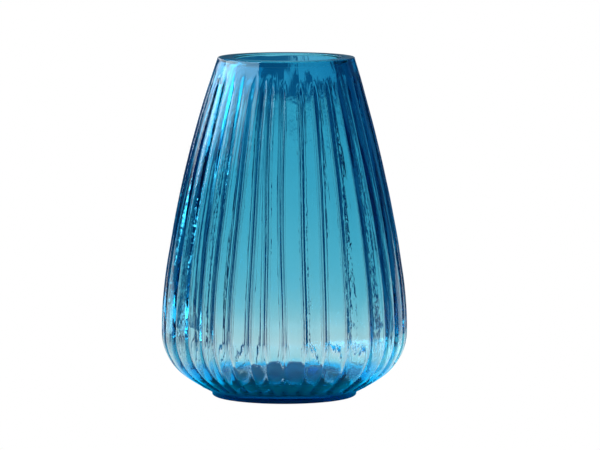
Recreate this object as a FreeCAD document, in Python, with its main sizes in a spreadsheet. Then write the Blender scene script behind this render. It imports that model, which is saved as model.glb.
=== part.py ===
# Ribbed glass vase: a mould-blown bowl with vertical ribs, fused to a thick disc foot.
# Millimetres. +Z is up, and the origin is the centre of the ring that the foot rests on.
import FreeCAD, Part
import math
import os
import Sketcher

DIMENSIONS = {
    # Outside of the bowl, from its seat on the foot up to the mouth
    "vase_height": 220,
    "belly_radius": 80,
    "belly_height": 41.8,
    "shoulder_radius": 276,
    "side_radius": 786,
    "mouth_radius": 44.2,
    "heel_radius": 35,
    "underside_radius": 85,
    "seat_radius": 54,
    # Inside of the bowl: 9 mm of glass at the mouth, 2 mm at the belly, and a floor that rises
    # in a heavy dome
    "bore_radius": 35,
    "neck_radius": 46.6,
    "neck_height": 188,
    "inner_belly_radius": 78,
    "inner_belly_height": 41,
    "inner_shoulder_radius": 25,
    "inner_side_radius": 900,
    "inner_heel_radius": 30,
    "floor_bend_radius": 90,
    "dome_radius": 33,
    "dome_foot_height": 9.8,
    "dome_top_height": 20.8,
    "lip_round": 0.8,
    # Valleys between the ribs, cut by a V whose edge runs inside the wall's face and leaves
    # it just below the mouth, so that the valleys fade out there
    "rib_count": 36,
    "valley_seat_radius": 52.5,
    "valley_belly_radius": 79.2,
    "valley_mouth_radius": 44.4,
    "valley_tail": 8,
    "cutter_width": 8,
    "cutter_depth": 2.4,
    # Foot
    "foot_height": 6,
    "foot_radius": 47,
    "foot_edge_height": 2.4,
    "foot_round": 1.2,
    "recess_radius": 35,
    "recess_depth": 1.5,
}
# How a sketch numbers the points of a line or an arc, and names its own origin and axes
START = 1
END = 2
CENTRE = 3
SKETCH_ORIGIN = (-1, 1)
LEVEL_AXIS = -1
UPRIGHT_AXIS = -2


def make_sheet(doc):
    sheet = doc.addObject("Spreadsheet::Sheet", "dims")
    for row, (alias, value) in enumerate(DIMENSIONS.items(), start=1):
        sheet.set(f"A{row}", alias)
        sheet.set(f"B{row}", str(value))
        sheet.setAlias(f"B{row}", alias)
    doc.recompute()


def origin_feature(body, role):
    return next(feature for feature in body.Origin.OriginFeatures if feature.Role == role)


def add_sketch(body, name, role):
    sketch = body.newObject("Sketcher::SketchObject", name)
    sketch.AttachmentSupport = [(origin_feature(body, role), "")]
    sketch.MapMode = "FlatFace"
    return sketch


def bind(sketch, alias, kind, *places):
    """Adds a dimension to a sketch and ties it to a cell of the sheet."""
    index = sketch.addConstraint(Sketcher.Constraint(kind, *places, DIMENSIONS[alias]))
    sketch.setExpression(f"Constraints[{index}]", "dims." + alias)


def bind_point(sketch, place, across, up):
    """Holds a point at a distance across and a distance up from the sketch's origin."""
    bind(sketch, across, "DistanceX", *SKETCH_ORIGIN, *place)
    bind(sketch, up, "DistanceY", *SKETCH_ORIGIN, *place)


def add_line(sketch, start, end):
    return sketch.addGeometry(Part.LineSegment(start, end))


def add_arc(sketch, centre, radius, angles):
    circle = Part.Circle(centre, FreeCAD.Vector(0, 0, 1), radius)
    return sketch.addGeometry(Part.ArcOfCircle(circle, *sorted(angles)))


def add_swell(sketch, belly, near, far, tip):
    """
    Draws a wall's outline from its belly to a tip above or below it: a near arc leaves the
    belly upright and runs smoothly into a flatter, far arc, which ends at the tip. Belly and
    tip are pairs of cell names, near and far the cells of the radii. Returns both ends.
    """
    belly_point = FreeCAD.Vector(*(DIMENSIONS[alias] for alias in belly))
    tip_point = FreeCAD.Vector(*(DIMENSIONS[alias] for alias in tip))
    near_radius = DIMENSIONS[near]
    far_radius = DIMENSIONS[far]
    growth = far_radius - near_radius
    near_centre = belly_point - FreeCAD.Vector(near_radius, 0)
    reach = tip_point - near_centre
    rising = reach.y > 0
    swing = math.acos((far_radius**2 - growth**2 - reach.Length**2) / (2 * growth * reach.Length))
    bend = math.atan2(reach.y, reach.x) + (-swing if rising else swing)
    far_centre = near_centre - FreeCAD.Vector(growth * math.cos(bend), growth * math.sin(bend))
    spoke = tip_point - far_centre
    near_arc = add_arc(sketch, near_centre, near_radius, (0, bend))
    far_arc = add_arc(sketch, far_centre, far_radius, (bend, math.atan2(spoke.y, spoke.x)))

    first, last = (START, END) if rising else (END, START)
    sketch.addConstraint(Sketcher.Constraint("Tangent", near_arc, last, far_arc, first))
    sketch.addConstraint(Sketcher.Constraint("Horizontal", near_arc, first, near_arc, CENTRE))
    bind(sketch, near, "Radius", near_arc)
    bind(sketch, far, "Radius", far_arc)
    bind_point(sketch, (far_arc, last), *tip)
    return (near_arc, first), (far_arc, last)


def add_swells(sketch, belly, low_radii, low_tip, high_radii, high_tip):
    """Draws the two swells of a wall, which share its belly, and returns their tips."""
    heel, low_end = add_swell(sketch, belly, *low_radii, low_tip)
    shoulder, high_end = add_swell(sketch, belly, *high_radii, high_tip)
    sketch.addConstraint(Sketcher.Constraint("Coincident", *heel, *shoulder))
    bind_point(sketch, shoulder, *belly)
    return low_end, high_end


def add_outside(sketch, seat_across, belly_across, mouth_across):
    """Draws the outside of the bowl, or a path beside it, and returns its seat and its mouth."""
    return add_swells(
        sketch,
        (belly_across, "belly_height"),
        ("heel_radius", "underside_radius"),
        (seat_across, "foot_height"),
        ("shoulder_radius", "side_radius"),
        (mouth_across, "vase_height"),
    )


def close_to_axis(sketch, low, high):
    """Joins both ends of an outline to the upright axis by level lines, and adds the axis."""
    low_point = sketch.getPoint(*low)
    high_point = sketch.getPoint(*high)
    low_foot = FreeCAD.Vector(0, low_point.y)
    high_foot = FreeCAD.Vector(0, high_point.y)
    floor = add_line(sketch, low_foot, low_point)
    ceiling = add_line(sketch, high_point, high_foot)
    axis = add_line(sketch, high_foot, low_foot)
    sketch.addConstraint(
        [
            Sketcher.Constraint("Coincident", floor, END, *low),
            Sketcher.Constraint("Coincident", *high, ceiling, START),
            Sketcher.Constraint("Coincident", ceiling, END, axis, START),
            Sketcher.Constraint("Coincident", axis, END, floor, START),
            Sketcher.Constraint("PointOnObject", floor, START, UPRIGHT_AXIS),
            Sketcher.Constraint("PointOnObject", ceiling, END, UPRIGHT_AXIS),
            Sketcher.Constraint("Horizontal", floor),
            Sketcher.Constraint("Horizontal", ceiling),
        ]
    )


def draw_bowl_outline(sketch):
    seat, mouth = add_outside(sketch, "seat_radius", "belly_radius", "mouth_radius")
    close_to_axis(sketch, seat, mouth)


def add_lip_arc(sketch, neck):
    """Draws the arc that carries the inner wall on smoothly from the neck to the bore."""
    side_arc = sketch.Geometry[neck[0]]
    neck_point = sketch.getPoint(*neck)
    inward = (side_arc.Center - neck_point).normalize()
    bore_point = FreeCAD.Vector(DIMENSIONS["bore_radius"], DIMENSIONS["vase_height"])
    reach = bore_point - neck_point
    radius = reach.Length**2 / (2 * reach.dot(inward))
    centre = neck_point + inward * radius
    spokes = (neck_point - centre, bore_point - centre)
    lip = add_arc(sketch, centre, radius, [math.atan2(spoke.y, spoke.x) for spoke in spokes])
    sketch.addConstraint(Sketcher.Constraint("Tangent", *neck, lip, START))
    bind_point(sketch, (lip, END), "bore_radius", "vase_height")
    return lip, END


def add_dome(sketch, floor_edge):
    """Draws the dome of the floor, from its foot to its top on the upright axis."""
    foot_across = DIMENSIONS["dome_radius"]
    foot_up = DIMENSIONS["dome_foot_height"]
    top = DIMENSIONS["dome_top_height"]
    rise = top - foot_up
    radius = (foot_across**2 + rise**2) / (2 * rise)
    centre = FreeCAD.Vector(0, top - radius)
    dome = add_arc(sketch, centre, radius, (math.atan2(foot_up - centre.y, foot_across), math.pi / 2))
    sketch.addConstraint(
        [
            Sketcher.Constraint("Coincident", dome, START, *floor_edge),
            Sketcher.Constraint("PointOnObject", dome, CENTRE, UPRIGHT_AXIS),
            Sketcher.Constraint("PointOnObject", dome, END, UPRIGHT_AXIS),
        ]
    )
    bind(sketch, "dome_top_height", "DistanceY", *SKETCH_ORIGIN, dome, END)
    return dome, END


def draw_cavity(sketch):
    """Half of the hollow's section: a domed floor, a swelling side and a narrowing lip."""
    floor_edge, neck = add_swells(
        sketch,
        ("inner_belly_radius", "inner_belly_height"),
        ("inner_heel_radius", "floor_bend_radius"),
        ("dome_radius", "dome_foot_height"),
        ("inner_shoulder_radius", "inner_side_radius"),
        ("neck_radius", "neck_height"),
    )
    bore = add_lip_arc(sketch, neck)
    dome_top = add_dome(sketch, floor_edge)
    mouth_centre = FreeCAD.Vector(0, DIMENSIONS["vase_height"])
    ceiling = add_line(sketch, sketch.getPoint(*bore), mouth_centre)
    axis = add_line(sketch, mouth_centre, sketch.getPoint(*dome_top))
    sketch.addConstraint(
        [
            Sketcher.Constraint("Coincident", *bore, ceiling, START),
            Sketcher.Constraint("Coincident", ceiling, END, axis, START),
            Sketcher.Constraint("Coincident", axis, END, *dome_top),
            Sketcher.Constraint("PointOnObject", ceiling, END, UPRIGHT_AXIS),
            Sketcher.Constraint("Horizontal", ceiling),
        ]
    )


def draw_valley_path(sketch):
    """The path of one valley, with a straight tail that carries it past the seat."""
    radii = ("valley_seat_radius", "valley_belly_radius", "valley_mouth_radius")
    seat, _ = add_outside(sketch, *radii)
    arc = sketch.Geometry[seat[0]]
    seat_point = sketch.getPoint(*seat)
    spoke = (seat_point - arc.Center).normalize()
    heading = FreeCAD.Vector(spoke.y, -spoke.x)
    tail = add_line(sketch, seat_point, seat_point + heading * DIMENSIONS["valley_tail"])
    sketch.addConstraint(Sketcher.Constraint("Tangent", *seat, tail, START))
    bind(sketch, "valley_tail", "Distance", tail, START, tail, END)


def draw_cutter(sketch):
    """The V that cuts a valley, level with the belly and with its edge on the valley's path."""
    sketch.setExpression("AttachmentOffset.Base.z", "dims.belly_height")
    edge = FreeCAD.Vector(DIMENSIONS["valley_belly_radius"], 0)
    far_corner = edge + FreeCAD.Vector(DIMENSIONS["cutter_depth"], DIMENSIONS["cutter_width"] / 2)
    near_corner = far_corner - FreeCAD.Vector(0, DIMENSIONS["cutter_width"])
    near_flank = add_line(sketch, edge, near_corner)
    back = add_line(sketch, near_corner, far_corner)
    far_flank = add_line(sketch, far_corner, edge)
    sketch.addConstraint(
        [
            Sketcher.Constraint("Coincident", near_flank, END, back, START),
            Sketcher.Constraint("Coincident", back, END, far_flank, START),
            Sketcher.Constraint("Coincident", far_flank, END, near_flank, START),
            Sketcher.Constraint("PointOnObject", near_flank, START, LEVEL_AXIS),
            Sketcher.Constraint("Symmetric", back, START, back, END, LEVEL_AXIS),
        ]
    )
    bind(sketch, "valley_belly_radius", "DistanceX", *SKETCH_ORIGIN, near_flank, START)
    bind(sketch, "cutter_width", "DistanceY", back, START, back, END)
    bind(sketch, "cutter_depth", "DistanceX", near_flank, START, back, START)


def turn_on_axis(body, kind, name, sketch):
    """Adds a full turn of a sketch about the upright axis, as a solid or as a cut."""
    feature = body.newObject("PartDesign::" + kind, name)
    feature.Profile = sketch
    feature.ReferenceAxis = (origin_feature(body, "Z_Axis"), [""])
    feature.Angle = 360
    body.Document.recompute()
    return feature


def round_circles(body, name, base, alias, circles):
    """Rounds the circular edges of the base that have one of the given radii and heights."""
    edges = [
        f"Edge{index}"
        for index, edge in enumerate(base.Shape.Edges, start=1)
        for across, up in circles
        if not edge.Degenerated
        and isinstance(edge.Curve, Part.Circle)
        and math.isclose(edge.Curve.Radius, DIMENSIONS[across], abs_tol=0.01)
        and math.isclose(edge.Curve.Center.z, up, abs_tol=0.01)
    ]
    fillet = body.newObject("PartDesign::Fillet", name)
    fillet.Base = (base, edges)
    fillet.setExpression("Radius", "dims." + alias)
    body.Document.recompute()
    return fillet


def make_bowl(doc):
    body = doc.addObject("PartDesign::Body", "ribbed_bowl")
    body.Label = "ribbed_bowl"
    outline = add_sketch(body, "bowl_outline", "XZ_Plane")
    draw_bowl_outline(outline)
    blank = turn_on_axis(body, "Revolution", "bowl_blank", outline)

    hollow = add_sketch(body, "cavity_outline", "XZ_Plane")
    draw_cavity(hollow)
    cavity = turn_on_axis(body, "Groove", "cavity", hollow)
    height = DIMENSIONS["vase_height"]
    rims = [("bore_radius", height), ("mouth_radius", height)]
    lip = round_circles(body, "lip", cavity, "lip_round", rims)

    path = add_sketch(body, "valley_path", "XZ_Plane")
    draw_valley_path(path)
    cutter = add_sketch(body, "cutter", "XY_Plane")
    draw_cutter(cutter)
    doc.recompute()
    valley = body.newObject("PartDesign::SubtractivePipe", "valley")
    valley.Profile = cutter
    valley.Spine = path
    doc.recompute()

    valleys = body.newObject("PartDesign::PolarPattern", "valleys")
    valleys.Originals = [valley]
    valleys.Axis = (origin_feature(body, "Z_Axis"), [""])
    valleys.Angle = 360
    valleys.setExpression("Occurrences", "dims.rib_count")
    body.Tip = valleys
    doc.recompute()
    require_less_each_time([blank, cavity, lip, valley, valleys])
    return body


def draw_foot_outline(sketch):
    """Half of the foot's section: an upright edge that flares out to the seat of the bowl."""
    edge_top = FreeCAD.Vector(DIMENSIONS["foot_radius"], DIMENSIONS["foot_edge_height"])
    seat = FreeCAD.Vector(DIMENSIONS["seat_radius"], DIMENSIONS["foot_height"])
    edge = add_line(sketch, FreeCAD.Vector(edge_top.x, 0), edge_top)
    flare = add_line(sketch, edge_top, seat)
    sketch.addConstraint(Sketcher.Constraint("Coincident", edge, END, flare, START))
    sketch.addConstraint(Sketcher.Constraint("Vertical", edge))
    bind_point(sketch, (flare, START), "foot_radius", "foot_edge_height")
    bind_point(sketch, (flare, END), "seat_radius", "foot_height")
    sketch.addConstraint(Sketcher.Constraint("PointOnObject", edge, START, LEVEL_AXIS))
    close_to_axis(sketch, (edge, START), (flare, END))


def make_foot(doc):
    body = doc.addObject("PartDesign::Body", "foot_disc")
    body.Label = "foot_disc"
    outline = add_sketch(body, "foot_outline", "XZ_Plane")
    draw_foot_outline(outline)
    disc = turn_on_axis(body, "Revolution", "disc", outline)

    circle = add_sketch(body, "recess_circle", "XY_Plane")
    round_edge = Part.Circle(FreeCAD.Vector(), FreeCAD.Vector(0, 0, 1), DIMENSIONS["recess_radius"])
    edge = circle.addGeometry(round_edge)
    circle.addConstraint(Sketcher.Constraint("Coincident", edge, CENTRE, *SKETCH_ORIGIN))
    bind(circle, "recess_radius", "Radius", edge)
    recess = body.newObject("PartDesign::Pocket", "recess")
    recess.Profile = circle
    recess.Reversed = True
    recess.setExpression("Length", "dims.recess_depth")
    doc.recompute()

    rounds = [("foot_radius", 0), ("recess_radius", 0)]
    rounded = round_circles(body, "ring_rounds", recess, "foot_round", rounds)
    body.Tip = rounded
    doc.recompute()
    require_less_each_time([disc, recess, rounded])
    return body


def require_less_each_time(features):
    """Every feature after the first is a cut, so each must leave less glass than the last."""
    for before, after in zip(features, features[1:]):
        if not after.Shape.Volume < before.Shape.Volume:
            raise RuntimeError(f"{after.Name} cuts nothing")


def check_document(doc):
    """A recompute can leave a failed feature behind without an error."""
    for item in doc.Objects:
        if "Invalid" in item.State or "Error" in item.State:
            raise RuntimeError(f"{item.Name} failed: {item.State}")


def export(piece):
    shape = piece.Shape
    if shape.isNull() or not shape.isValid() or len(shape.Solids) != 1:
        raise RuntimeError(f"{piece.Label} isn't one valid solid")
    shape.exportStep(f"parts/{piece.Label}.step")


def main():
    doc = FreeCAD.newDocument("vase")
    make_sheet(doc)
    pieces = [make_bowl(doc), make_foot(doc)]
    doc.recompute()
    check_document(doc)
    os.makedirs("parts", exist_ok=True)
    for piece in pieces:
        export(piece)


main()
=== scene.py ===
import math

import bpy
import numpy as np
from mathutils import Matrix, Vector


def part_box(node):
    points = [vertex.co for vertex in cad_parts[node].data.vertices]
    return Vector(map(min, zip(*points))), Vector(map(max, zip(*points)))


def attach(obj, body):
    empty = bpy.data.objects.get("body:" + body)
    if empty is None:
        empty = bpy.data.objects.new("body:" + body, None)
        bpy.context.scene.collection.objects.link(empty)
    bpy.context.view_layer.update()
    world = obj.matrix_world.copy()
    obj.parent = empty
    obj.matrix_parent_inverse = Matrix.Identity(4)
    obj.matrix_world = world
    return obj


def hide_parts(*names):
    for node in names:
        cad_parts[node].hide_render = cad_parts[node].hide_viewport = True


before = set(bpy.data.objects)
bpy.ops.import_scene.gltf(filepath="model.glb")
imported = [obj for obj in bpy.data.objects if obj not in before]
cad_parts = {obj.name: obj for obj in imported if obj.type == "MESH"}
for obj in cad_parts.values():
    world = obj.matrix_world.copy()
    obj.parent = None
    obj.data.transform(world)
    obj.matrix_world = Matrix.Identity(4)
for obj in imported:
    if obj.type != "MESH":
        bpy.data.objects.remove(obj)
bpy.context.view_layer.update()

# The vase's driving sizes, in metres. Its box comes from the CAD nodes; the arcs and the wall
# inside them are the section of the glass.
BOWL_LOW, BOWL_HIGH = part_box("ribbed_bowl")
FOOT_LOW, FOOT_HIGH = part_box("foot_disc")
MOUTH_HEIGHT = BOWL_HIGH.z
SEAT_HEIGHT = BOWL_LOW.z
BELLY = (0.0799, 0.0418)
MOUTH = (0.0442, MOUTH_HEIGHT)
SEAT = (0.0538, SEAT_HEIGHT)
SHOULDER_ARC = 0.276
SIDE_ARC = 0.786
HEEL_ARC = 0.035
UNDERSIDE_ARC = 0.085
INNER_BELLY = (0.078, 0.041)
NECK = (0.0466, 0.188)
DOME_FOOT = (0.033, 0.0098)
DOME_TOP = 0.0208
BORE = (0.035, MOUTH_HEIGHT)
INNER_SHOULDER_ARC = 0.025
INNER_SIDE_ARC = 0.900
INNER_HEEL_ARC = 0.030
FLOOR_ARC = 0.090
LIP_ROUND = 0.0008
# The upper part leans a little to the right, by this much at the mouth
MOUTH_LEAN = 0.0013
FOOT_RADIUS = 0.047
FOOT_EDGE_HEIGHT = 0.0024
FOOT_ROUND = 0.0012
RECESS_RADIUS = 0.035
RECESS_DEPTH = 0.0015
# The two pieces are closed meshes of their own, with this much air between them
SEAM_GAP = 0.00004
# A row of small dimples runs round the foot's edge
STIPPLE_COUNT = 64
STIPPLE_HEIGHT = 0.0029
STIPPLE_RADIUS = 0.0008
STIPPLE_DEPTH = 0.00025

# Ribs: the valleys between them are narrow, and each rib is a little fuller in its middle. The
# valleys are deeper at the sides of the vase than at the front and back, and from the belly down
# to the heel they grow deeper and wider.
RIB_COUNT = 36
COLUMNS_PER_RIB = 14
VALLEY_DEPTH = 0.0008
VALLEY_WIDTH = 0.0011
SIDE_GAIN = 0.35
HEEL_REACH = (0.014, 0.046)
HEEL_GAIN = 0.7
HEEL_SPREAD = 0.6
PILLOW = 0.00045

# Where the photograph was taken from, for a frame of 600 x 450
CAMERA_DISTANCE = 3.2
CAMERA_ELEVATION = math.radians(6.08)
CAMERA_LENS = 296
CAMERA_SHIFT = (0.0262, 0.0017)


def arc(centre, radius, start, end, count):
    """Points along an arc, as rows of (across, up), from one angle to another."""
    angles = np.linspace(start, end, count)
    return np.stack([centre[0] + radius * np.cos(angles), centre[1] + radius * np.sin(angles)], 1)


def swell(belly, near_radius, far_radius, tip, near_count, far_count):
    """A wall's outline from its belly to a tip: a near arc, then a flatter one up to the tip."""
    growth = far_radius - near_radius
    near_centre = np.array([belly[0] - near_radius, belly[1]])
    reach = np.array(tip) - near_centre
    length = math.hypot(*reach)
    swing = math.acos((far_radius**2 - growth**2 - length**2) / (2 * growth * length))
    bend = math.atan2(reach[1], reach[0]) - math.copysign(swing, reach[1])
    far_centre = near_centre - growth * np.array([math.cos(bend), math.sin(bend)])
    spoke = np.array(tip) - far_centre
    near = arc(near_centre, near_radius, 0, bend, near_count)
    far = arc(far_centre, far_radius, bend, math.atan2(spoke[1], spoke[0]), far_count)
    return np.vstack([near, far[1:]])


def onward(before, start, end, count):
    """An arc from start to end that carries on in the direction from before to start."""
    before, start, end = (np.array(point) for point in (before, start, end))
    heading = (start - before) / math.hypot(*(start - before))
    side = np.array([-heading[1], heading[0]])
    reach = end - start
    radius = (reach @ reach) / (2 * (reach @ side))
    centre = start + radius * side
    first, last = (math.atan2(*(point - centre)[::-1]) for point in (start, end))
    return arc(centre, abs(radius), first, last, count)


def rounded(before, corner, after, radius, count):
    """A short curve in place of a corner, which leaves both of its sides smoothly."""
    before, corner, after = (np.array(point) for point in (before, corner, after))
    start = corner + radius * (before - corner) / math.hypot(*(before - corner))
    end = corner + radius * (after - corner) / math.hypot(*(after - corner))
    share = np.linspace(0, 1, count)[:, None]
    return (1 - share) ** 2 * start + 2 * share * (1 - share) * corner + share**2 * end


def line(start, end, count):
    """Points from start towards end, without end itself."""
    share = np.linspace(0, 1, count, endpoint=False)[:, None]
    return (1 - share) * np.array(start) + share * np.array(end)


def outward(outline):
    """Unit normals, pointing out of the glass, of an outline that has the glass on its right."""
    along = np.gradient(outline, axis=0)
    along /= np.linalg.norm(along, axis=1, keepdims=True)
    return np.stack([-along[:, 1], along[:, 0]], 1)


def smooth_step(low, high, value):
    share = np.clip((value - low) / (high - low), 0, 1)
    return share * share * (3 - 2 * share)


def valley_angles(height):
    """
    The valleys' azimuths at some heights, in radians to the right of the front: one row per
    height. The mould is uneven, and the valleys waver a little on their way up. Its two halves
    are alike, so that each valley at the back stands opposite one at the front.
    """
    even = np.arange(RIB_COUNT) * 2 * math.pi / RIB_COUNT
    behind = np.cos(even) < -0.001
    facing = np.where(behind, math.pi - even, even)
    up = ((height - SEAT_HEIGHT) / (MOUTH_HEIGHT - SEAT_HEIGHT))[:, None]
    uneven = 4.7 + 4.5 * np.sin(2 * facing - 1.95) + 1.2 * np.sin(5 * facing - 2.2)
    uneven += 0.8 * np.sin(11 * facing - 0.7)
    waver = 2.6 * (up - 0.5) * np.sin(7 * facing - 0.9) + 0.3 * np.sin(9 * up + 3.7 * facing)
    turned = smooth_step(0, 0.35, np.abs(np.cos(even))) * np.radians(uneven + waver)
    return even + np.where(behind, -turned, turned)


def rib_grid(height):
    """
    The azimuths of the mesh's columns at some heights, and how far each column stands from
    the nearest valley, as a share of its rib from 0 to a half. Columns crowd at the valleys.
    """
    valleys = valley_angles(height)
    widths = np.diff(valleys, axis=1, append=valleys[:, :1] + 2 * math.pi)
    even = np.arange(COLUMNS_PER_RIB) / COLUMNS_PER_RIB
    across = even - 0.11 * np.sin(2 * math.pi * even)
    azimuth = valleys[:, :, None] + widths[:, :, None] * across
    aside = np.broadcast_to(np.minimum(across, 1 - across), azimuth.shape)
    rows = len(height)
    wide = np.broadcast_to(widths[:, :, None], azimuth.shape)
    return azimuth.reshape(rows, -1), aside.reshape(rows, -1), wide.reshape(rows, -1)


def ripple(azimuth, height):
    """Slow unevenness of blown glass, from -1 to 1, over the wall's azimuth and height."""
    up = height[:, None] * 2 * math.pi / 0.060
    waves = np.sin(3 * azimuth + 1.1 * up + 0.4) + np.sin(5 * azimuth - 1.7 * up + 2.1)
    waves += np.sin(9 * azimuth + 2.3 * up + 4.0) + np.sin(14 * azimuth - 0.8 * up + 1.0)
    return waves / 4


def lathe(name, outline, azimuth, proud):
    """
    A closed mesh: the outline turned round the upright axis, from pole to pole. Azimuth
    gives each row's columns, and proud moves each point out along the outline's normal.
    """
    normals = outward(outline)
    across = outline[:, :1] + proud * normals[:, :1]
    up = outline[:, 1:] + proud * normals[:, 1:]
    lean = MOUTH_LEAN * np.clip((up - 0.13) / (MOUTH_HEIGHT - 0.13), 0, 1) ** 2
    rings = np.stack([across * np.sin(azimuth) + lean, -across * np.cos(azimuth), up], 2)
    rows, columns = azimuth.shape
    inner_rows = rings[1:-1].reshape(-1, 3)
    first_pole = (0, 0, outline[0, 1])
    last_pole = (0, 0, outline[-1, 1])
    points = np.vstack([inner_rows, first_pole, last_pole])

    here = np.arange(columns)
    there = (here + 1) % columns
    faces = []
    for row in range(rows - 3):
        low = row * columns
        high = low + columns
        faces += np.stack([low + here, high + here, high + there, low + there], 1).tolist()
    last_ring = (rows - 3) * columns
    first = len(inner_rows)
    faces += [(first, here[i], there[i]) for i in range(columns)]
    faces += [(first + 1, last_ring + there[i], last_ring + here[i]) for i in range(columns)]

    mesh = bpy.data.meshes.new(name)
    mesh.from_pydata(points.tolist(), [], faces)
    mesh.polygons.foreach_set("use_smooth", [True] * len(mesh.polygons))
    mesh.set_sharp_from_angle(angle=math.radians(50))
    piece = bpy.data.objects.new(name, mesh)
    bpy.context.scene.collection.objects.link(piece)
    return piece


def make_bowl():
    """The ribbed wall, its cavity and its ground rim, as one closed skin."""
    rise = DOME_TOP - DOME_FOOT[1]
    dome_arc = (DOME_FOOT[0] ** 2 + rise**2) / (2 * rise)
    dome_centre = (0, DOME_TOP - dome_arc)
    foot_angle = math.atan2(DOME_FOOT[1] - dome_centre[1], DOME_FOOT[0])
    dome = arc(dome_centre, dome_arc, math.pi / 2, foot_angle, 24)[:-1]
    heel = swell(INNER_BELLY, INNER_HEEL_ARC, FLOOR_ARC, DOME_FOOT, 18, 10)[::-1]
    wall = swell(INNER_BELLY, INNER_SHOULDER_ARC, INNER_SIDE_ARC, NECK, 6, 26)
    inside = np.vstack([wall, onward(wall[-2], NECK, BORE, 12)[1:]])
    outside = swell(BELLY, SHOULDER_ARC, SIDE_ARC, MOUTH, 22, 74)[::-1]
    underside = swell(BELLY, HEEL_ARC, UNDERSIDE_ARC, SEAT, 22, 10)
    bore_lip = rounded(inside[-2], BORE, MOUTH, LIP_ROUND, 4)
    mouth_lip = rounded(BORE, MOUTH, outside[1], LIP_ROUND, 4)
    seat = line(SEAT, (0, SEAT_HEIGHT), 6)
    inner_part = np.vstack([dome, heel, inside[1:-1], bore_lip])
    outer_part = np.vstack([mouth_lip, outside[1:-1], underside])
    outline = np.vstack([inner_part, outer_part, seat[1:], [(0, SEAT_HEIGHT)]])

    azimuth, aside, widths = rib_grid(outline[:, 1])
    distance = aside * widths * outline[:, :1]
    heel_share = 1 - smooth_step(*HEEL_REACH, outline[:, 1:])
    depth = VALLEY_DEPTH * (1 - SIDE_GAIN * np.cos(2 * azimuth)) * (1 + heel_share * HEEL_GAIN)
    valley = depth * np.exp(-((distance / (VALLEY_WIDTH * (1 + heel_share * HEEL_SPREAD))) ** 2))
    pillow = PILLOW * (1 - 2 * aside) ** 2
    fade = 1 - smooth_step(0.196, 0.213, outline[:, 1:])
    proud = -fade * (valley + pillow)
    proud -= 0.0001 * (1 + ripple(azimuth, outline[:, 1]))
    row = np.arange(len(outline))[:, None]
    first_outer = len(inner_part)
    last_outer = first_outer + len(outer_part)
    inner_proud = 0.00003 * ripple(azimuth + 1, outline[:, 1]) - 0.12 * fade * valley
    proud = np.where(row < first_outer, inner_proud, proud)
    flat = (outline[:, 1:] > MOUTH_HEIGHT - 0.0015) | (row >= last_outer - 1)
    proud = np.where(flat, 0, proud)
    return lathe("ribbed_glass_bowl", outline, azimuth, proud)


def make_foot():
    """The thick disc under the bowl, with its resting ring and recess."""
    top = FOOT_HIGH.z - SEAM_GAP
    edge = (FOOT_RADIUS, 0)
    waist = (FOOT_RADIUS, FOOT_EDGE_HEIGHT)
    brim = (SEAT[0], top)
    recess_edge = (RECESS_RADIUS, 0)
    recess_top = (RECESS_RADIUS - 0.002, RECESS_DEPTH)
    outline = np.vstack(
        [
            line((0, RECESS_DEPTH), recess_top, 8),
            rounded((0, RECESS_DEPTH), recess_top, recess_edge, 0.0008, 4),
            rounded(recess_top, recess_edge, edge, 0.0008, 5),
            line((RECESS_RADIUS + 0.001, 0), (FOOT_RADIUS - FOOT_ROUND, 0), 4)[1:],
            rounded(recess_edge, edge, waist, FOOT_ROUND, 6),
            rounded(edge, waist, brim, FOOT_ROUND, 12),
            rounded(waist, brim, (0, top), 0.0004, 5),
            line((SEAT[0] - 0.001, top), (0, top), 8)[1:],
            [(0, top)],
        ]
    )[::-1]
    columns = STIPPLE_COUNT * 8
    azimuth = np.tile(np.arange(columns) * 2 * math.pi / columns, (len(outline), 1))
    proud = -0.00008 * (1 + ripple(azimuth * 2, outline[:, 1]))
    turn = 2 * math.pi / STIPPLE_COUNT
    aside = ((azimuth + turn / 2) % turn - turn / 2) * outline[:, :1]
    apart = np.hypot(aside, outline[:, 1:] - STIPPLE_HEIGHT) / STIPPLE_RADIUS
    around_edge = outline[:, :1] > RECESS_RADIUS + 0.005
    proud -= np.where(around_edge, STIPPLE_DEPTH * np.exp(-(apart**2)), 0)
    level = (outline[:, 1:] < 0.0001) | (outline[:, 1:] > top - 0.0001)
    return lathe("glass_foot_disc", outline, azimuth, np.where(level, 0, proud))


# ---------------------------------------------------------------- materials

class Nodes:
    """A small helper that adds and links nodes in one tree."""

    def __init__(self, tree):
        self.tree = tree
        tree.nodes.clear()

    def add(self, kind, inputs=(), **settings):
        node = self.tree.nodes.new(kind)
        for name, value in settings.items():
            setattr(node, name, value)
        for socket, value in dict(inputs).items():
            self.put(node, socket, value)
        return node

    def put(self, node, socket, value):
        if isinstance(value, bpy.types.NodeSocket):
            self.tree.links.new(value, node.inputs[socket])
        else:
            node.inputs[socket].default_value = value

    def math(self, operation, first, second=0.0, third=0.0):
        node = self.add("ShaderNodeMath", {0: first, 1: second, 2: third}, operation=operation)
        return node.outputs[0]

    def mix(self, share, first, second):
        """A colour between two, each a colour or a socket."""
        first, second = ((*c, 1) if isinstance(c, tuple) else c for c in (first, second))
        node = self.add("ShaderNodeMix", data_type="RGBA")
        for socket, value in ((0, share), (6, first), (7, second)):
            self.put(node, socket, value)
        return node.outputs[2]

    def noise(self, place, scale, detail):
        inputs = {"Vector": place, "Scale": scale, "Detail": detail, "Roughness": 0.45}
        return self.add("ShaderNodeTexNoise", inputs).outputs["Fac"]

    def ramp(self, value, start, end, low, high):
        """A smooth step from one value to another."""
        inputs = {"Value": value, "From Min": start, "From Max": end, "To Min": low, "To Max": high}
        return self.add("ShaderNodeMapRange", inputs, interpolation_type="SMOOTHSTEP").outputs[0]


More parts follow.
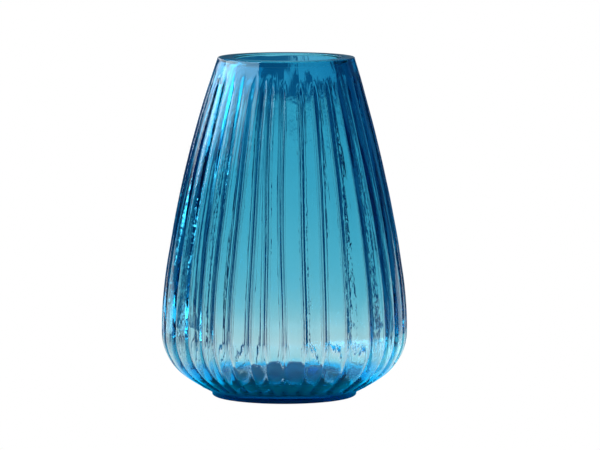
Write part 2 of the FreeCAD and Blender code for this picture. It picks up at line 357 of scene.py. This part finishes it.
# The studio. White cards stand all round the vase, with deep blue gaps between them; each card
# is full white this far to each side of its middle, and has faded into the gap at the next angle.
CARD_COUNT = 8
CARD_FULL = math.radians(12)
CARD_END = math.radians(16)
GAP_COLOUR = (0.0, 0.05, 0.14)
# The gaps begin some way out on the table
GAP_START = (0.12, 0.30)
# The table rises gently from here to its edge, as a paper sweep does, and fades towards its edge
# into a backdrop, under a blue-lit ceiling. Round the vase the table glows with a painted blue shade
# that stands in for the vase's own shadow, and a deeper painted shadow right under the foot.
TABLE_RISE = 0.3
TABLE_EDGE = (2.4, 0.08)
TABLE_FADE = (1.7, 2.4)
CARD_WHITE = (0.87, 0.87, 0.87)
BACKDROP_COLOUR = (0.04, 0.16, 0.28)
CEILING = (math.radians(20), math.radians(45))
CEILING_COLOUR = (0.1, 0.75, 1.0)
# Painted blue shade on the table round the vase, and a deeper painted shadow right under the foot
SHADE_REACH = (0.060, 0.100)
SHADE_COLOUR = (0.0, 0.7, 1.2)
FOOT_SHADOW_REACH = (0.044, 0.060)
FOOT_SHADOW_COLOUR = (0.0, 0.12, 0.34)
# Each softbox stands square to an azimuth, in degrees to the right of straight behind. Then come
# its left and right edges and how soft they are, and its bottom and top edges and how soft they
# are, all as shares of its distance, and its strength.
SOFTBOXES = (
    (-131, (0.0, 3.5, 0.03), (0.56, 1.6, 0.26), 7.0),
    (-35, (-0.4, 0.4, 0.1), (0.12, 0.3, 0.05), 2.0),
    (0, (0.03, 0.2, 0.03), (-0.06, 0.12, 0.02), 0.5),
)

# The skin's relief: about this many streaks to each radian, and the size of a peel cell
STREAK_COUNT = 34
PEEL_SIZE = 0.0024

# The colour of the glass's own reflections, a blue that was chosen
SHEEN = (0.4, 0.8, 1.0)

# How much of red, green and blue a metre of the glass takes away
ABSORPTION = (235, 63, 32)


def glass_material(name, peel_depth, streak_depth, ground):
    """
    Clear blue glass. Its skin has fine upright streaks and patches of orange peel from the
    mould, and it is satin where it is ground flat, above or below the height in ground.
    """
    material = bpy.data.materials.new(name)
    material.use_nodes = True
    nodes = Nodes(material.node_tree)
    place = nodes.add("ShaderNodeTexCoord").outputs["Object"]
    east, north, up = nodes.add("ShaderNodeSeparateXYZ", {0: place}).outputs
    flat = nodes.add("ShaderNodeCombineXYZ", {0: east, 1: north, 2: 0.0}).outputs[0]
    around = nodes.add("ShaderNodeVectorMath", {0: flat}, operation="NORMALIZE").outputs[0]
    slow = nodes.math("MULTIPLY", up, STREAK_COUNT * 0.3)
    along = nodes.add("ShaderNodeCombineXYZ", {0: 0.0, 1: 0.0, 2: slow}).outputs[0]
    drawn = nodes.add(
        "ShaderNodeVectorMath", {0: around, 1: (STREAK_COUNT,) * 3, 2: along}, operation="MULTIPLY_ADD"
    ).outputs[0]
    streaks = nodes.noise(drawn, 1.0, 2.0)
    patches = nodes.noise(drawn, 0.13, 1.0)
    stretched = nodes.add("ShaderNodeMapping", {"Vector": place, "Scale": (1, 1, 0.6)}).outputs[0]
    peel = nodes.noise(stretched, 1 / PEEL_SIZE, 1.0)
    peel = nodes.math("MULTIPLY", peel, nodes.ramp(patches, 0.45, 0.6, 0.1 * peel_depth, peel_depth))
    height = nodes.math("MULTIPLY_ADD", streaks, streak_depth, peel)
    bump = nodes.add("ShaderNodeBump", {"Height": height, "Strength": 1.0, "Distance": 1.0})
    roughness = nodes.ramp(up, *ground)
    shader = nodes.add(
        "ShaderNodeBsdfPrincipled",
        {
            "Base Color": (1, 1, 1, 1),
            "Roughness": roughness,
            "IOR": 1.5,
            "Transmission Weight": 1.0,
            "Specular Tint": (*SHEEN, 1),
            "Normal": bump.outputs["Normal"],
        },
    )
    density = max(ABSORPTION) * 1.1
    kept = [1 - loss / density for loss in ABSORPTION]
    volume = nodes.add("ShaderNodeVolumeAbsorption", {"Color": (*kept, 1), "Density": density})
    sockets = {"Surface": shader.outputs[0], "Volume": volume.outputs[0]}
    nodes.add("ShaderNodeOutputMaterial", sockets)
    return material


def card_glow(nodes, azimuth, card_colour):
    """The colour of the ring of cards and gaps, over the azimuth."""
    wave = nodes.math("COSINE", nodes.math("MULTIPLY", azimuth, CARD_COUNT))
    edges = math.cos(CARD_COUNT * CARD_END), math.cos(CARD_COUNT * CARD_FULL)
    return nodes.mix(nodes.ramp(wave, *edges, 0.0, 1.0), GAP_COLOUR, card_colour)


def white_to_camera(nodes, glow):
    """The glass sees the glow, and the camera sees plain white."""
    seen = nodes.add("ShaderNodeLightPath").outputs["Is Camera Ray"]
    return nodes.mix(seen, glow, (1, 1, 1))


def make_floor():
    """A wide pale table, which carries the cards' pattern and a painted shade of the vase."""
    under = (TABLE_EDGE[0], TABLE_EDGE[1] - 0.01)
    outline = np.array([(0, 0), (TABLE_RISE, 0), TABLE_EDGE, under, (0, -0.01)])
    azimuth = np.tile(np.arange(64) * 2 * math.pi / 64, (len(outline), 1))
    floor = lathe("studio_floor", outline, azimuth, np.zeros_like(azimuth))
    floor.location.z = -0.0002

    material = bpy.data.materials.new("pale_floor")
    material.use_nodes = True
    nodes = Nodes(material.node_tree)
    place = nodes.add("ShaderNodeTexCoord").outputs["Object"]
    east, north, _up = nodes.add("ShaderNodeSeparateXYZ", {0: place}).outputs
    away = nodes.add("ShaderNodeVectorMath", {0: place}, operation="LENGTH").outputs["Value"]
    far = nodes.mix(nodes.ramp(away, *TABLE_FADE, 0.0, 1.0), CARD_WHITE, BACKDROP_COLOUR)
    cards = card_glow(nodes, nodes.math("ARCTAN2", east, north), far)
    table = nodes.mix(nodes.ramp(away, *GAP_START, 0.0, 1.0), CARD_WHITE, cards)
    # Painted blue shade round the vase, and a deeper painted shadow under the foot, which only the
    # glass sees
    near = nodes.mix(nodes.ramp(away, *SHADE_REACH, 0.0, 1.0), SHADE_COLOUR, table)
    glow = nodes.mix(nodes.ramp(away, *FOOT_SHADOW_REACH, 0.0, 1.0), FOOT_SHADOW_COLOUR, near)
    light = nodes.add("ShaderNodeEmission", {"Color": white_to_camera(nodes, glow)})
    nodes.add("ShaderNodeOutputMaterial", {"Surface": light.outputs[0]})
    floor.data.materials.append(material)


def softbox_glow(nodes, direction, turn, sides, ends, strength):
    """How bright one softbox is, as seen along each direction."""
    turn = math.radians(turn)

    def along(axis):
        inputs = {0: direction, 1: axis}
        return nodes.add("ShaderNodeVectorMath", inputs, operation="DOT_PRODUCT").outputs["Value"]

    forward = along((math.sin(turn), math.cos(turn), 0))
    across = nodes.math("DIVIDE", along((math.cos(turn), -math.sin(turn), 0)), forward)
    up = nodes.math("DIVIDE", along((0, 0, 1)), forward)
    mask = nodes.math("GREATER_THAN", forward, 0.02)
    for place, (low, high, blur) in ((across, sides), (up, ends)):
        entry = nodes.ramp(place, low - blur, low, 0.0, 1.0)
        leaving = nodes.ramp(place, high, high + blur, 1.0, 0.0)
        mask = nodes.math("MULTIPLY", mask, nodes.math("MULTIPLY", entry, leaving))
    return nodes.math("MULTIPLY", mask, strength)


def make_world():
    """The cards and softboxes that the glass shows, round a studio that the camera sees as white."""
    world = bpy.data.worlds.new("studio")
    bpy.context.scene.world = world
    world.use_nodes = True
    nodes = Nodes(world.node_tree)
    direction = nodes.add("ShaderNodeTexCoord").outputs["Generated"]
    east, north, up = nodes.add("ShaderNodeSeparateXYZ", {0: direction}).outputs
    elevation = nodes.math("ARCSINE", up)
    cards = card_glow(nodes, nodes.math("ARCTAN2", east, north), BACKDROP_COLOUR)
    glow = nodes.mix(nodes.ramp(elevation, *CEILING, 0.0, 1.0), cards, CEILING_COLOUR)
    for softbox in SOFTBOXES:
        bright = softbox_glow(nodes, direction, *softbox)
        glow = nodes.add("ShaderNodeVectorMath", {0: glow, 1: bright}, operation="ADD").outputs[0]
    sky = nodes.add("ShaderNodeBackground", {"Color": white_to_camera(nodes, glow)})
    nodes.add("ShaderNodeOutputWorld", {"Surface": sky.outputs[0]})


def make_camera():
    data = bpy.data.cameras.new("camera")
    camera = bpy.data.objects.new("camera", data)
    bpy.context.scene.collection.objects.link(camera)
    data.lens = CAMERA_LENS
    data.shift_x, data.shift_y = CAMERA_SHIFT
    data.clip_end = 50
    camera.location = (
        0,
        -CAMERA_DISTANCE * math.cos(CAMERA_ELEVATION),
        MOUTH_HEIGHT / 2 + CAMERA_DISTANCE * math.sin(CAMERA_ELEVATION),
    )
    camera.rotation_euler = (math.pi / 2 - CAMERA_ELEVATION, 0, 0)
    bpy.context.scene.camera = camera


def dress(piece, node, material):
    piece.data.materials.append(material)
    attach(piece, "root")
    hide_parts(node)


make_camera()
make_floor()
make_world()
rim_ground = (MOUTH_HEIGHT - 0.0006, MOUTH_HEIGHT - 0.0002, 0.0, 0.3)
foot_ground = (0.0001, 0.0006, 0.3, 0.0)
bowl_glass = glass_material("blue_bowl_glass", 0.00008, 0.00003, rim_ground)
foot_glass = glass_material("blue_foot_glass", 0.00006, 0.00003, foot_ground)
dress(make_bowl(), "ribbed_bowl", bowl_glass)
dress(make_foot(), "foot_disc", foot_glass)

scene = bpy.context.scene
scene.view_settings.view_transform = "Standard"
scene.cycles.max_bounces = 32
scene.cycles.transmission_bounces = 32
scene.cycles.glossy_bounces = 16
